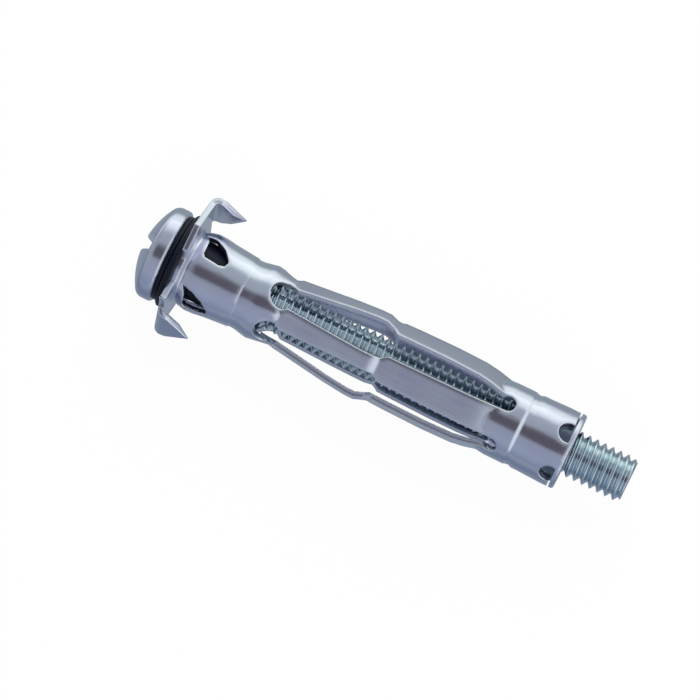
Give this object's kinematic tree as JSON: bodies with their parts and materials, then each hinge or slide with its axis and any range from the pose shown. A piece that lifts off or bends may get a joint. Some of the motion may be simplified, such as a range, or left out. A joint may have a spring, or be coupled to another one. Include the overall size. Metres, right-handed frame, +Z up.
{
  "type": "hollow-wall anchor with screw",
  "caption": "Zinc-plated expansion sleeve with slotted folding legs, a clawed flange and a pan-head machine screw for fixing to hollow walls.",
  "frame": {"origin": "on the floor under the middle of the anchor lying flat, at the bottom centre of its bounding box", "axes": "+X along the screw from head to tip, +Z up from the floor it lies on"},
  "size_m": [0.0443, 0.0122, 0.0083],
  "materials": {
    "pressed_sheet": "bright zinc plating with a faint blue tint",
    "turned_steel": "bright zinc plating",
    "black_washer": "matt black"
  },
  "bodies": {
    "sleeve": {"expansion_sleeve": "pressed_sheet", "threaded_insert": "turned_steel", "retaining_washer": "black_washer"},
    "head_washer": {"head_washer": "black_washer"},
    "screw": {"screw": "turned_steel"}
  },
  "joints": [
    {"name": "screw_feed", "type": "slide", "parent": "sleeve", "child": "head_washer", "axis": [-1, 0, 0], "range_m": [0, 0.01049]},
    {"name": "screw_turn", "type": "hinge", "parent": "head_washer", "child": "screw", "pos_m": [0, 0, 0.00415], "axis": [-1, 0, 0], "range_deg": [0, 5400]}
  ],
  "couplings": [
    {"joint": "screw_turn", "follows": "screw_feed", "rad_per_m": 8976}
  ]
}
